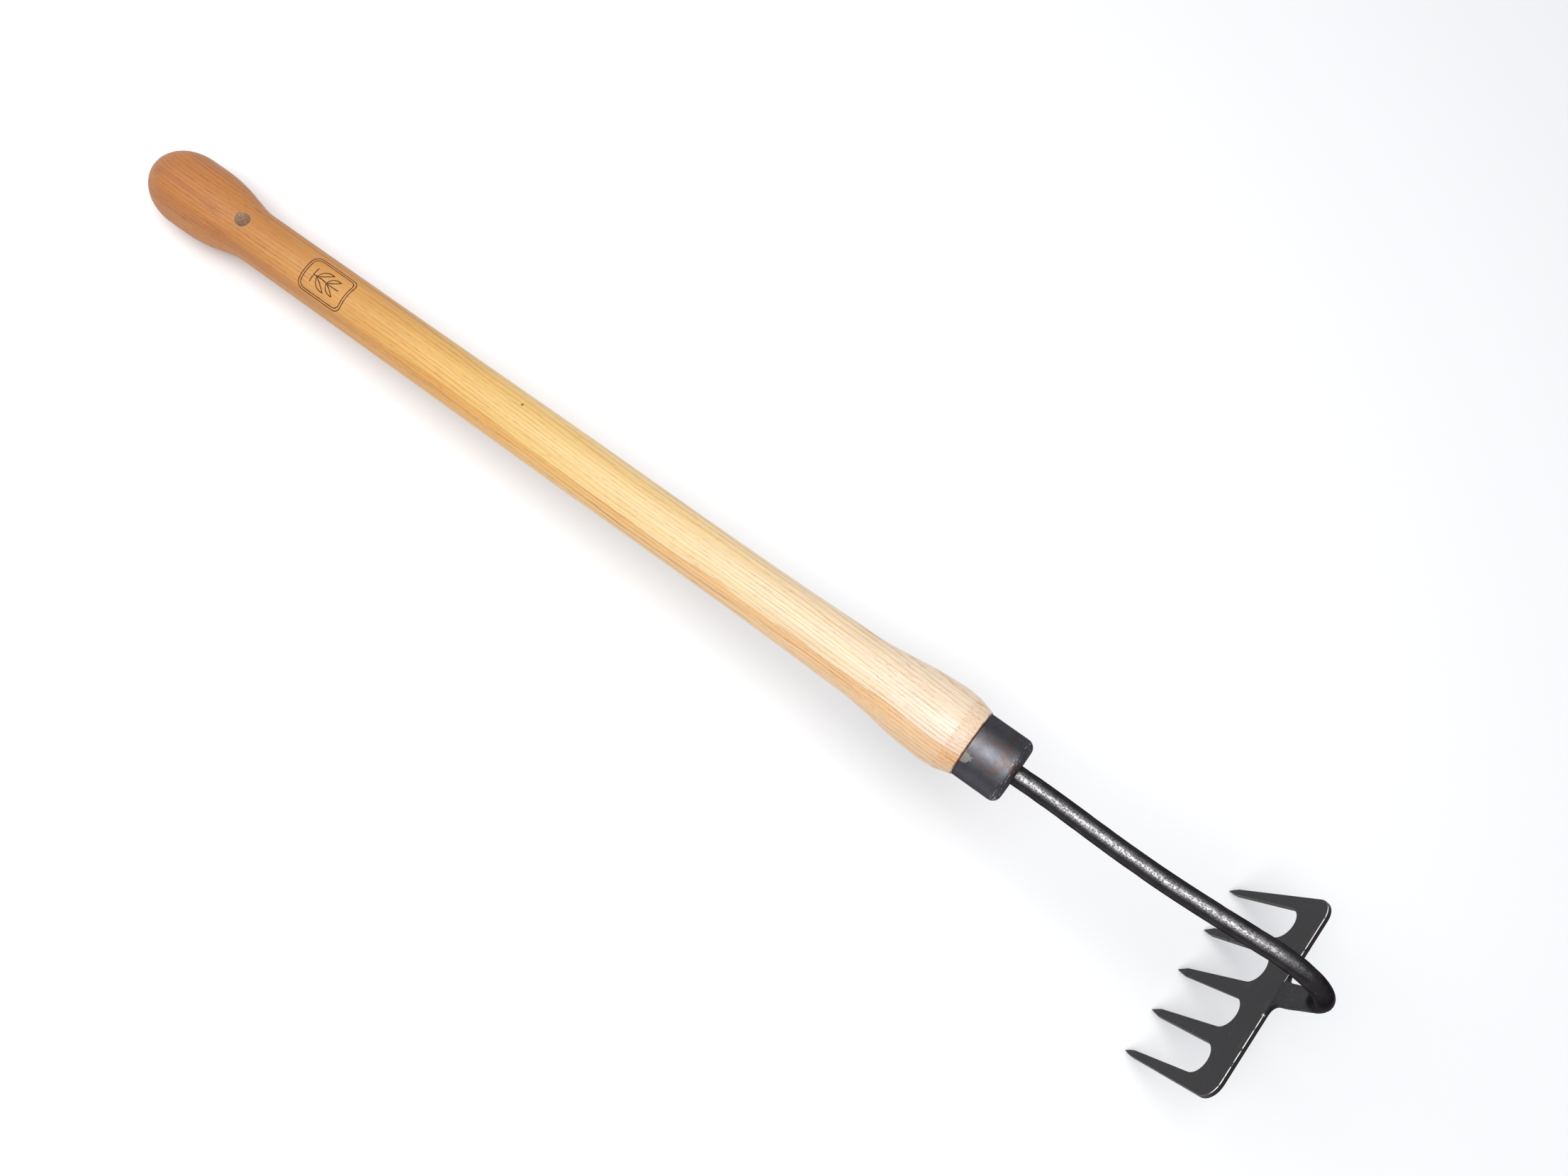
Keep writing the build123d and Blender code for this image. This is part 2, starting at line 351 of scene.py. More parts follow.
# ------------------------------------------------------------------ materials
def ash_material():
    """Oiled ash: ring lines, open pores, a flamed heartwood side, paler towards the ferrule."""
    s = Shader("oiled_ash")
    station, _, _ = s.split(s.place)
    wood_length = 0.52
    ring_width = 0.0019

    # The grain wanders a little on its way along the blank
    wander = s.streaks((6, 24, 24), detail=3, colour=True)
    wander = s.vector("SUBTRACT", wander, (0.5, 0.5, 0.5))
    wander = s.vector("MULTIPLY", wander, (0, 0.006, 0.006))
    grain = s.vector("ADD", s.place, wander)

    # Distance from the pith of the log, which lies to one side; uneven years, on a slight taper
    from_pith = s.vector("DISTANCE", s.vector("MULTIPLY", grain, (0, 1, 1)), (0, -0.062, -0.012))
    uneven = s.times(s.streaks((3.5, 330, 330)), ring_width)
    years = s.plus(from_pith, uneven, s.times(station, 0.009))
    ring = s.math("FRACT", s.times(years, 1 / ring_width))

    # Ground colour: orange-brown at the knob, cream at the barrel, with yellower bands
    drift = s.swing(s.streaks((4, 90, 90)), 0.16)
    along = s.plus(s.times(s.plus(station, wood_length), 1 / wood_length), drift)
    ground = s.ramp(along, [
        (0.00, (0.440, 0.172, 0.052)),
        (0.06, (0.490, 0.192, 0.053)),
        (0.16, (0.530, 0.226, 0.060)),
        (0.31, (0.665, 0.355, 0.102)),
        (0.42, (0.750, 0.480, 0.165)),
        (0.52, (0.790, 0.560, 0.235)),
        (0.63, (0.805, 0.605, 0.320)),
        (0.79, (0.820, 0.665, 0.465)),
        (1.00, (0.820, 0.680, 0.540)),
    ])
    bands = s.span(s.streaks((2.6, 150, 150)), 0.42, 0.66)
    ground = s.shade(s.times(bands, 0.45), ground, (1.0, 0.90, 0.70))
    outer = s.span(from_pith, 0.0665, 0.0740, 0.0, 0.3)
    ground = s.shade(outer, ground, (1.0, 0.91, 0.76))

    # Flamed heartwood along one side, paler again deeper in, with a thin brown line at each border
    heart = s.plus(from_pith, s.swing(s.streaks((30, 90, 90), detail=4), 0.0040))
    barrel_side = s.span(station, -0.43, -0.26)
    inside = s.times(s.span(heart, 0.0567, 0.0556), barrel_side)
    ground = s.shade(inside, ground, (0.95, 0.76, 0.56))
    deeper = s.times(s.span(heart, 0.0530, 0.0522), barrel_side, 0.6)
    ground = s.shade(deeper, ground, (1.02, 1.06, 1.10))
    broken = s.span(s.streaks((22, 160, 160)), 0.40, 0.60, 0.12, 0.75)
    for border in (0.0562, 0.0526):
        apart = s.math("ABSOLUTE", s.math("SUBTRACT", heart, border))
        line = s.times(s.span(apart, 0.00042, 0.00012), broken, barrel_side)
        ground = s.shade(line, ground, (0.74, 0.52, 0.36))

    # Reddish streaks in the knob and the narrow end of the shaft
    streak = s.span(s.streaks((3, 130, 130), detail=3, rough=0.6), 0.50, 0.68)
    streak = s.times(streak, s.span(station, -0.20, -0.44, 0.0, 0.42))
    ground = s.mix(streak, ground, (0.33, 0.115, 0.045))

    # Ring lines: a thin darker edge that fades out, clear in some places and lost in others
    line = s.ramp(ring, [
        (0.00, (0.72, 0.60, 0.46)),
        (0.10, (0.88, 0.81, 0.72)),
        (0.30, (1.0, 1.0, 1.0)),
        (0.92, (1.0, 1.0, 1.0)),
        (1.00, (0.78, 0.68, 0.56)),
    ])
    clear = s.span(s.streaks((7, 120, 120)), 0.32, 0.62, 0.15, 0.95)
    ground = s.shade(clear, ground, line)

    # Pores: short dashes along the grain, thickest beside the ring lines
    pores = s.streaks((170, 2600, 2600), at=grain, detail=1)
    pores = s.span(s.plus(pores, s.span(ring, 0.45, 0.05, 0.0, 0.07)), 0.63, 0.70)
    ground = s.shade(s.times(pores, 0.34), ground, (0.55, 0.38, 0.26))
    fibres = s.streaks((22, 1100, 1100), at=grain)
    ground = s.shade(1.0, ground, s.span(fibres, 0.3, 0.7, 0.93, 1.04))

    # Cut end grain of the chamfer, real flecks with a pinkish tint that is a painted reflection, and
    # the dark line where the oil gathers at the seam
    cut = s.span(station, -0.0094, -0.0084)
    flecks = s.span(s.streaks((240, 1500, 1500), detail=3), 0.48, 0.70)
    end_grain_and_painted_reflection = s.mix(flecks, (1.0, 0.94, 0.90), (0.87, 0.73, 0.64))
    ground = s.shade(s.times(cut, 0.85), ground, end_grain_and_painted_reflection)
    ragged = s.plus(station, s.swing(s.noise(260), 0.0010))
    ground = s.mix(s.span(ragged, -0.0009, -0.0003), ground, (0.15, 0.045, 0.028))

    # One pin knot in the middle of the shaft, and bare wood inside the hanging hole: paler than the
    # oiled surface, and lightened further as painted light against the shade in the hole
    knot = s.span(s.vector("DISTANCE", s.place, (-0.270, 0.0052, 0.0136)), 0.0010, 0.0004)
    ground = s.mix(s.times(knot, 0.85), ground, (0.10, 0.035, 0.015))
    from_hole = s.vector("DISTANCE", s.stretch((1, 1, 0)), (HOLE_STATION * MM, 0, 0))
    bare_and_painted_light_hole_wall = s.span(from_hole, 0.00425, 0.00402)
    mottle = s.span(s.noise(1300, detail=3), 0.40, 0.60)
    ground = s.mix(bare_and_painted_light_hole_wall, ground, s.mix(mottle, (0.80, 0.58, 0.42), (0.50, 0.32, 0.21)))

    # The knob end is duller than the barrel
    rough = s.plus(s.span(fibres, 0.3, 0.7, 0.31, 0.42), s.times(pores, 0.15))
    rough = s.plus(rough, s.span(station, -0.25, -0.42, 0.0, 0.18))
    height = s.math("SUBTRACT", s.times(fibres, 0.25), pores)
    height = s.plus(height, s.times(s.span(ring, 0.0, 0.3), clear, 0.5))
    normal = s.bump(height, 0.32, 0.00012)
    return s.finish(ground, rough, normal, Specular_IOR_Level=0.5)


def ferrule_material():
    """Heat-blackened steel: charcoal with brown and purple clouds, a bare chip at the seam, and a
    painted highlight on the upper side.
    """
    s = Shader("blued_steel")
    station, _, _ = s.split(s.place)
    tint = s.ramp(s.noise(95, detail=3, rough=0.55, warp=0.8), [
        (0.30, (0.104, 0.064, 0.052)),
        (0.42, (0.090, 0.083, 0.088)),
        (0.56, (0.096, 0.097, 0.110)),
        (0.66, (0.088, 0.082, 0.096)),
        (0.76, (0.102, 0.066, 0.080)),
    ])
    specks = s.span(s.noise(1700), 0.54, 0.72)
    tint = s.mix(s.times(specks, 0.30), tint, (0.19, 0.185, 0.19))

    # Painted highlight: the upper side, turned towards the camera and the key light, is brightened
    painted_highlight = s.span(s.facing((0, -0.2, 1)), 0.78, 0.95)
    tint = s.shade(painted_highlight, tint, (1.6, 1.6, 1.6))

    # Chip in the black beside the seam, with a ragged outline
    edge = s.swing(s.noise(480, detail=4, rough=0.6), 0.0085)
    reach = s.vector("DISTANCE", s.stretch((0.85, 1.15, 1.15)), (0.0003, -0.0112, 0.0152))
    chip = s.span(s.plus(reach, edge), 0.0033, 0.0029)
    tint = s.mix(chip, tint, (0.36, 0.335, 0.30))

    # Scuffs on the front rounding
    front = s.times(s.span(station, 0.0190, 0.0208), s.span(station, 0.0240, 0.0226))
    scuffs = s.span(s.streaks((1500, 420, 420), detail=3), 0.60, 0.66)
    tint = s.mix(s.times(front, scuffs), tint, (0.40, 0.385, 0.375))

    rough = s.plus(s.span(s.noise(190, detail=3), 0.3, 0.7, 0.46, 0.55), s.times(chip, 0.2))
    height = s.plus(s.noise(900, detail=3), s.times(chip, -1.5))
    normal = s.bump(height, 0.16, 0.0001)
    return s.finish(tint, rough, normal, Metallic=1.0, Specular_Tint=(0.35, 0.35, 0.37, 1))


def forged_material():
    """Forged black rod: dark scale, with a painted highlight of fine bright speckles along the top of
    the rod.
    """
    s = Shader("forged_steel")
    _, _, height = s.split(s.place)
    grain = s.streaks((1000, 1500, 1500), detail=3, rough=0.65)
    colour = s.ramp(s.noise(140, detail=3), [
        (0.32, (0.044, 0.038, 0.038)),
        (0.50, (0.052, 0.049, 0.053)),
        (0.68, (0.070, 0.059, 0.060)),
    ])
    # Painted highlight: the side facing the camera and the key light is mixed towards bright speckled
    # metal
    top = s.span(s.facing((0, -0.13, 1)), 0.80, 0.99)
    patchy = s.span(s.streaks((60, 420, 420), detail=3), 0.30, 0.60, 0.55, 1.0)
    speckle = s.span(grain, 0.42, 0.58, 0.18, 1.0)
    colour = s.mix(s.times(top, patchy, speckle), colour, (0.33, 0.325, 0.33))
    nicks = s.span(s.streaks((240, 900, 900), detail=3), 0.69, 0.73)
    colour = s.mix(s.times(nicks, 0.5), colour, (0.24, 0.23, 0.23))
    rough = s.span(grain, 0.35, 0.65, 0.48, 0.36)

    # Painted shade: the underside is darkened
    under = s.span(s.facing((0, 0, -1)), -0.2, 0.5)
    colour = s.shade(under, colour, (0.45, 0.45, 0.45))

    # The tongue is scaled like the plate that it runs into
    tongue = s.span(height, -0.035, -0.046)
    scaled = s.mix(s.span(grain, 0.5, 0.7, 0.0, 0.4), (0.029, 0.028, 0.030), (0.085, 0.082, 0.083))
    colour = s.mix(tongue, colour, scaled)
    s.feed(s.surface.inputs["Metallic"], s.math("SUBTRACT", 1.0, s.times(tongue, 0.65)))
    rough = s.plus(rough, s.times(tongue, 0.16))
    normal = s.bump(s.streaks((160, 260, 260)), 0.22, 0.0003)
    normal = s.bump(grain, 0.30, 0.00006, normal)
    return s.finish(colour, rough, normal, Specular_Tint=(0.30, 0.30, 0.31, 1))


def plate_material(name, cut_colour=(0.052, 0.048, 0.045), bright_edge=False, tone=1.0):
    """Charcoal mill scale with fine scratches; the edge version has a painted glint, a broken bright
    line along the back.
    """
    s = Shader(name)
    back = Vector((math.sin(TINE_LEAN), 0, math.cos(TINE_LEAN)))
    face = (math.cos(TINE_LEAN), 0, -math.sin(TINE_LEAN))
    clouds = s.noise(70, detail=4, rough=0.6)
    colour = s.ramp(clouds, [
        (0.30, (0.0175, 0.0165, 0.0175)),
        (0.50, (0.0230, 0.0220, 0.0240)),
        (0.70, (0.0300, 0.0285, 0.0300)),
    ])
    rust = s.span(s.noise(240, detail=4), 0.60, 0.72)
    colour = s.mix(s.times(rust, 0.35), colour, (0.050, 0.034, 0.022))
    grit = s.span(s.noise(2600), 0.60, 0.74)
    colour = s.mix(s.times(grit, 0.40), colour, (0.085, 0.082, 0.083))
    marks = s.streaks((1900, 60, 1900), detail=1, warp=0.4)
    scratches = s.times(s.span(marks, 0.685, 0.715), s.span(s.noise(55), 0.50, 0.62))
    colour = s.mix(s.times(scratches, 0.55), colour, (0.15, 0.145, 0.14))

    # Cut sides of the tines are greyer than the faces, and the back edge is blacker
    side = s.span(s.math("ABSOLUTE", s.facing(face)), 0.75, 0.45)
    colour = s.mix(s.times(side, 0.7), colour, cut_colour)
    top = s.span(s.facing(back), 0.55, 0.85)
    colour = s.mix(s.times(top, 0.85), colour, (0.010, 0.008, 0.011))
    rough = s.span(clouds, 0.3, 0.7, 0.52, 0.66)

    # Painted glint: a broken bright line along the back, on the handle's side, except at the tongue
    if bright_edge:
        _, across, _ = s.split(s.place)
        edge_point = Vector((PLATE_STATION, 0, -PLATE_DROP)) * MM
        height = s.vector("DOT_PRODUCT", s.place, tuple(back))
        depth = s.math("SUBTRACT", back.dot(edge_point), height)
        painted_glint = s.times(
            s.span(s.noise(330, detail=3), 0.30, 0.46),
            s.span(depth, 0.0040, 0.0014, 0.10, 1.0),
            s.span(s.facing(face), -0.15, -0.40),
            s.span(s.math("ABSOLUTE", across), 0.0085, 0.0100),
        )
        colour = s.mix(painted_glint, colour, (0.80, 0.77, 0.72))
        rough = s.math("SUBTRACT", rough, s.times(painted_glint, 0.25))
    colour = s.shade(1.0, colour, (tone, tone, tone))
    normal = s.bump(s.plus(s.noise(900, detail=3), s.times(scratches, -0.8)), 0.22, 0.00008)
    return s.finish(colour, rough, normal, Metallic=0.35, Specular_IOR_Level=0.40)


def bare_material():
    """Bright weld spatter."""
    s = Shader("bare_steel")
    mottle = s.noise(1800)
    colour = s.ramp(mottle, [(0.35, (0.30, 0.29, 0.28)), (0.65, (0.62, 0.60, 0.57))])
    return s.finish(colour, 0.38, Metallic=1.0)


def burned_material():
    """Branded lines: charred brown, a little uneven."""
    s = Shader("burned_line")
    char = s.noise(900)
    colour = s.ramp(char, [(0.35, (0.060, 0.019, 0.008)), (0.65, (0.135, 0.048, 0.021))])
    return s.finish(colour, 0.75, Specular_IOR_Level=0.2)


ash = ash_material()
blued = ferrule_material()
forged = forged_material()
plate_face = plate_material("plate_scale")
plate_edge = plate_material("plate_edge", bright_edge=True)
weld_face = plate_material("weld_scale", (0.011, 0.009, 0.011), tone=0.3)
bare = bare_material()
burned = burned_material()


# ------------------------------------------------------------------ handle
def handle_radius(x):
    """Turned radius of the handle at a station."""
    if x < BUTT_CENTRE:
        t = min((BUTT_CENTRE - x) / BUTT_LENGTH, 1)
        return KNOB_RADIUS * math.sqrt(1 - t * t)
    crest, crest_radius = OUTLINE[-1]
    if x > crest:
        chamfer, chamfer_radius = CHAMFER_START
        return float(np.interp(x, (crest, chamfer, 0), (crest_radius, chamfer_radius, SEAM_RADIUS)))
    return float(smooth_curve(OUTLINE, x))


def turned_outline():
    """(station, radius) pairs of the whole handle, from the butt to the end of the spigot."""
    butt_steps = 24
    spigot_chamfer = 3.2
    outline = []
    for step in range(1, butt_steps + 1):
        t = step / butt_steps * math.pi / 2
        outline.append((BUTT_CENTRE - BUTT_LENGTH * math.cos(t), KNOB_RADIUS * math.sin(t)))
    stations = list(np.linspace(BUTT_CENTRE, CHAMFER_START[0], 200)[1:]) + [-8.2, -4.5, -0.5]
    outline += [(x, handle_radius(x)) for x in stations]
    outline += [(0, SEAM_RADIUS - 0.15), (0, SPIGOT_RADIUS)]
    outline.append((SPIGOT_LENGTH - spigot_chamfer, SPIGOT_RADIUS))
    outline.append((SPIGOT_LENGTH, SPIGOT_RADIUS - spigot_chamfer))
    return outline


def make_handle():
    """Turned wood, with the hanging hole and the tang's bore cut out of it."""
    segments = 128
    outline = turned_outline()
    verts = []
    for x, r in outline:
        verts += [(x, r * math.cos(a), r * math.sin(a)) for a in turn_angles(segments)]
    faces = ring_faces(len(outline), segments)
    tip = len(verts)
    verts.append((BUTT_CENTRE - BUTT_LENGTH, 0, 0))
    for k in range(segments):
        faces.append((tip, (k + 1) % segments, k))
    faces.append(tuple(range(tip - segments, tip)))
    handle = add_piece("ash_handle", verts, faces, [ash], 30)
    for cutter in (hole_cutter(), tang_cutter()):
        cut = handle.modifiers.new("cut", "BOOLEAN")
        cut.operation = "DIFFERENCE"
        cut.solver = "EXACT"
        cut.object = cutter
        apply_modifiers(handle)
        bpy.data.objects.remove(cutter)
    tidy_normals(handle, 30)
    return handle


def hole_cutter():
    """Through cutter of the hanging hole, flared a little where it meets the surface."""
    rim = handle_radius(HOLE_STATION)
    radius = hang_hole["dims"]["r_mm"]
    profile = [(-25, radius + 0.12)]
    profile += [(-rim + depth, radius + flare) for depth, flare in ((0.2, 0.1), (0.9, 0.03), (2.0, 0))]
    profile += [(-z, r) for z, r in reversed(profile)]
    segments = 48
    verts = []
    for z, r in profile:
        verts += [(HOLE_STATION + r * math.cos(a), r * math.sin(a), z) for a in turn_angles(segments)]
    return add_piece("hole_cutter", verts, tube_faces(len(profile), segments), [ash])


def tang_cutter():
    """Tapered bore that holds the tang, turned so that no edge of it meets an edge of the wood."""
    segments = 32
    ends = ((-TANG_LENGTH - TANG_END_GAP, TANG_POINT + TANG_FIT), (0, ROD_RADIUS + TANG_FIT))
    verts = []
    for s, r in ends:
        verts += neck_ring(s, r, segments, start=0.37)
    return add_piece("tang_cutter", verts, tube_faces(len(ends), segments), [ash])


# ------------------------------------------------------------------ neck
def neck_point(forward, up, across=0.0, lift=0.0):
    """A point in the neck's plane, in tool millimetres, moved across it and up in it."""
    x = FERRULE_LENGTH + forward * math.cos(ROD_SKEW) - across * math.sin(ROD_SKEW)
    y = forward * math.sin(ROD_SKEW) + across * math.cos(ROD_SKEW)
    return Vector((x, y, up + lift))


def neck_ring(forward, radius, segments, start=0.0):
    """A ring of points round the neck's straight line."""
    angles = turn_angles(segments, start)
    return [tuple(neck_point(forward, 0, radius * math.cos(a), radius * math.sin(a))) for a in angles]


def side_bow(s):
    """How far the hand-straightened rod bows to one side of its plane."""
    bow_end = 1.15 * BEND_START
    t = min(max(s / bow_end, 0), 1)
    return -ROD_BOW * (1 - math.cos(2 * math.pi * t))


def neck_stations():
    """(distance, forward, up, heading below level) along the rod, bend and tongue."""
    stations = []
    for s in np.arange(0, BEND_START, 1.25):
        stations.append((s, s, 0.0, 0.0))
    arc = BEND_RADIUS * BEND_ANGLE
    for s in np.arange(0, arc, 1.0):
        a = s / BEND_RADIUS
        forward = BEND_START + BEND_RADIUS * math.sin(a)
        stations.append((BEND_START + s, forward, BEND_RADIUS * (math.cos(a) - 1), a))
    forward = BEND_START + BEND_RADIUS * math.cos(TINE_LEAN)
    drop = BEND_RADIUS * (1 + math.sin(TINE_LEAN))
    for s in np.linspace(0, TONGUE_LENGTH + TONGUE_OVERLAP, 26):
        reach = (forward - s * math.sin(TINE_LEAN), -drop - s * math.cos(TINE_LEAN))
        stations.append((BEND_START + arc + s, *reach, BEND_ANGLE))
    return stations


def superellipse(angle, half_width, half_thickness, power):
    """Point of a rounded-rectangle-like section; power 2 is an ellipse."""
    c = math.cos(angle)
    s = math.sin(angle)
    x = math.copysign(abs(c) ** (2 / power), c) * half_width
    y = math.copysign(abs(s) ** (2 / power), s) * half_thickness
    return x, y


def make_neck():
    """Rod, gooseneck and tongue in one forging, with the hidden tang behind."""
    segments = 64
    tang = ((-TANG_LENGTH, TANG_POINT * 0.6), (-TANG_LENGTH + 2, TANG_POINT), (-2.0, ROD_RADIUS - 0.15))
    verts = []
    for s, r in tang:
        verts += neck_ring(s, r, segments)
    tongue_start = BEND_START + BEND_RADIUS * BEND_ANGLE
    stations = neck_stations()
    for s, forward, up, heading in stations:
        t = (s - tongue_start) / TONGUE_LENGTH
        half_width = ROD_RADIUS + (TONGUE_HALF_WIDTH - ROD_RADIUS) * blend_in(-0.5, 0.6, t)
        flat = blend_in(-0.75, 0.75, t)
        half_thickness = ROD_RADIUS + (TONGUE_HALF_THICKNESS - ROD_RADIUS) * flat
        power = 2 + 3.5 * blend_in(-0.1, 0.9, t)
        offset = PLATE_THICKNESS / 2 * blend_in(0, 1, t)
        tangent = neck_point(math.cos(heading), -math.sin(heading)) - neck_point(0, 0)
        across = neck_point(0, 0, 1) - neck_point(0, 0)
        outward = tangent.cross(across)
        centre = neck_point(forward, up, side_bow(s)) + outward * offset
        hammered = blend_in(0, 6, s) * (1 - blend_in(0.75, 1.0, t))
        for a in turn_angles(segments):
            w, h = superellipse(a, half_width, half_thickness, power)
            point = centre + across * w + outward * h
            dent = min(0.18 * ripple(point, 9, 1) + 0.08 * ripple(point, 3.2, 5), 0)
            point += (point - centre).normalized() * (dent * hammered)
            verts.append(tuple(point))
    faces = tube_faces(len(tang) + len(stations), segments)
    return add_piece("forged_neck", verts, faces, [forged], 50)


# ------------------------------------------------------------------ ferrule
def make_ferrule():
    """Drawn cap with a rounded front edge, a hole for the rod and slight dents outside."""
    segments = 128
    round_steps = 12
    inner = FERRULE_RADIUS - FERRULE_WALL
    front = FERRULE_LENGTH - FERRULE_WALL
    outline = [(0.0, inner), (0.0, FERRULE_RADIUS - 0.25), (0.25, FERRULE_RADIUS)]
    straight = FERRULE_LENGTH - FERRULE_ROUND
    outline += [(x, FERRULE_RADIUS) for x in np.linspace(0.8, straight, 24)]
    for step in range(1, round_steps + 1):
        a = step / round_steps * math.pi / 2
        r = FERRULE_RADIUS - FERRULE_ROUND + FERRULE_ROUND * math.cos(a)
        outline.append((straight + FERRULE_ROUND * math.sin(a), r))
    outline += [(FERRULE_LENGTH, r) for r in (9.5, 7.0, FERRULE_HOLE + 0.3)]
    outline += [(FERRULE_LENGTH - 0.3, FERRULE_HOLE), (front, FERRULE_HOLE)]
    outline += [(front, inner - FERRULE_INNER_ROUND), (front - FERRULE_INNER_ROUND, inner)]
    verts = []
    for x, r in outline:
        outside = r > inner + 0.1 or x > front + 0.2
        for a in turn_angles(segments):
            dent = 0.05 * ripple((x, r * math.cos(a), r * math.sin(a)), 8, 3) if outside else 0.0
            radius = r - abs(dent)
            verts.append((x, radius * math.cos(a), radius * math.sin(a)))
    faces = ring_faces(len(outline), segments, closed=True)
    return add_piece("blued_ferrule", verts, faces, [blued], 35)


# ------------------------------------------------------------------ rake plate
def plate_point(across, depth, out):
    """A point on the head: across it, down from its back edge, and out from its inner face."""
    x = PLATE_STATION - depth * math.sin(TINE_LEAN) + out * math.cos(TINE_LEAN)
    z = -PLATE_DROP - depth * math.cos(TINE_LEAN) - out * math.sin(TINE_LEAN)
    return Vector((x, across + PLATE_OFFSET, z))


def tine_middle(tine, depth):
    """Where a tine's middle line is across the head, at a depth from the back edge."""
    pitch = ROOT_PITCH + (TIP_PITCH - ROOT_PITCH) * (depth - ROOT_DEPTH) / (TINE_DEPTH - ROOT_DEPTH)
    return (tine - (TINES - 1) / 2) * pitch


def arc_points(start, through, end, count):
    """Points between start and end on the circle through three points, with the ends left out."""
    (ax, ay), (bx, by), (cx, cy) = start, through, end
    a2, b2, c2 = (x * x + y * y for x, y in (start, through, end))
    d = 2 * (ax * (by - cy) + bx * (cy - ay) + cx * (ay - by))
    ux = (a2 * (by - cy) + b2 * (cy - ay) + c2 * (ay - by)) / d
    uy = (a2 * (cx - bx) + b2 * (ax - cx) + c2 * (bx - ax)) / d
    radius = math.hypot(ax - ux, ay - uy)
    angles = [math.atan2(y - uy, x - ux) for x, y in (start, through, end)]
    sweep = (angles[2] - angles[0]) % (2 * math.pi)
    if (angles[1] - angles[0]) % (2 * math.pi) > sweep:
        sweep -= 2 * math.pi
    steps = [angles[0] + sweep * (i + 1) / (count + 1) for i in range(count)]
    return [(ux + radius * math.cos(a), uy + radius * math.sin(a)) for a in steps]


def tine_side(tine, side):
    """Edge of a tine from its tip up to its root, as (across, depth) points."""
    tip = (tine_middle(tine, TINE_DEPTH), TINE_DEPTH)
    shoulder = (tine_middle(tine, SHOULDER_DEPTH) + side * SHOULDER_HALF_WIDTH, SHOULDER_DEPTH)
    swell = (tip[0] + side * 0.58 * SHOULDER_HALF_WIDTH, SHOULDER_DEPTH + 4.4)
    root = (tine_middle(tine, ROOT_DEPTH) + side * ROOT_HALF_WIDTH, ROOT_DEPTH)
    return [tip, swell, shoulder, root]


def plate_outline():
    """The head's outline, round from the first tine's tip, as (across, depth) points."""
    last = TINES - 1
    corner_steps = 10
    side_slope = math.atan((PLATE_HALF_WIDTH - OUTER_SHOULDER) / SHOULDER_DEPTH)
    corner_across = PLATE_HALF_WIDTH - PLATE_CORNER * math.tan(math.pi / 4 + side_slope / 2)
    corner = []
    for step in range(corner_steps + 1):
        a = step / corner_steps * (math.pi / 2 + side_slope)
        corner.append((corner_across + PLATE_CORNER * math.sin(a), PLATE_CORNER * (1 - math.cos(a))))
    tip, swell, _, _ = tine_side(0, -1)
    outline = [tip, swell, (-OUTER_SHOULDER, SHOULDER_DEPTH)]
    outline += [(-x, y) for x, y in reversed(corner)]
    outline += corner
    outline += [(OUTER_SHOULDER, SHOULDER_DEPTH), tine_side(last, 1)[1]]
    for tine in range(last, 0, -1):
        near = tine_side(tine, -1)
        far = tine_side(tine - 1, 1)
        top = ((near[-1][0] + far[-1][0]) / 2, NOTCH_DEPTH)
        outline += near
        outline += arc_points(near[-1], top, far[-1], 15)
        outline += list(reversed(far))[:-1]
    return outline


def make_plate():
    """Flat cut plate with thinned tips and softened edges."""
    mesh = bpy.data.meshes.new("rake_head")
    edit = bmesh.new()
    outline = plate_outline()
    layers = []
    for out in (-PLATE_THICKNESS / 2, PLATE_THICKNESS / 2):
        layer = []
        for across, depth in outline:
            thin = 1 - TINE_TIP_THINNING * blend_in(SHOULDER_DEPTH - 2, TINE_DEPTH, depth)
            spot = plate_point(across, depth, PLATE_THICKNESS / 2 + out * thin)
            layer.append(edit.verts.new(placed(*spot)))
        layers.append(layer)
    inner, outer = layers
    edit.faces.new(inner)
    edit.faces.new(list(reversed(outer)))
    for k in range(len(outline)):
        n = (k + 1) % len(outline)
        edit.faces.new((inner[k], outer[k], outer[n], inner[n]))
    shoulders = [k for k, (_, depth) in enumerate(outline) if depth == SHOULDER_DEPTH]
    shoulders.sort(key=lambda k: outline[k][0])
    for layer in layers:
        for left, right in zip(shoulders[0::2], shoulders[1::2]):
            bmesh.ops.connect_vert_pair(edit, verts=[layer[left], layer[right]])
    bmesh.ops.recalc_face_normals(edit, faces=edit.faces)
    edit.to_mesh(mesh)
    edit.free()
    plate = bpy.data.objects.new("rake_head", mesh)
    bpy.context.scene.collection.objects.link(plate)
    mesh.materials.append(plate_face)
    mesh.materials.append(plate_edge)
    soften = plate.modifiers.new("soften", "BEVEL")
    soften.width = PLATE_EDGE_ROUND * MM
    soften.segments = 2
    soften.limit_method = "ANGLE"
    soften.angle_limit = math.radians(35)
    soften.material = 1
    soften.harden_normals = True
    apply_modifiers(plate)
    return plate


# ------------------------------------------------------------------ weld
FILLET_FOOT = 6.3
FILLET_ROUND = 0.35
FILLET_SINK = 0.05
FILLET_RINGS = 14
FILLET_SEGMENTS = 6
BEAD_ACROSS = -9.0
BEAD_DEPTH = 0.5
BEAD_OUT = 0.35
BEAD_RADIUS = 0.8
BEAD_RINGS = 7
BEAD_SEGMENTS = 12


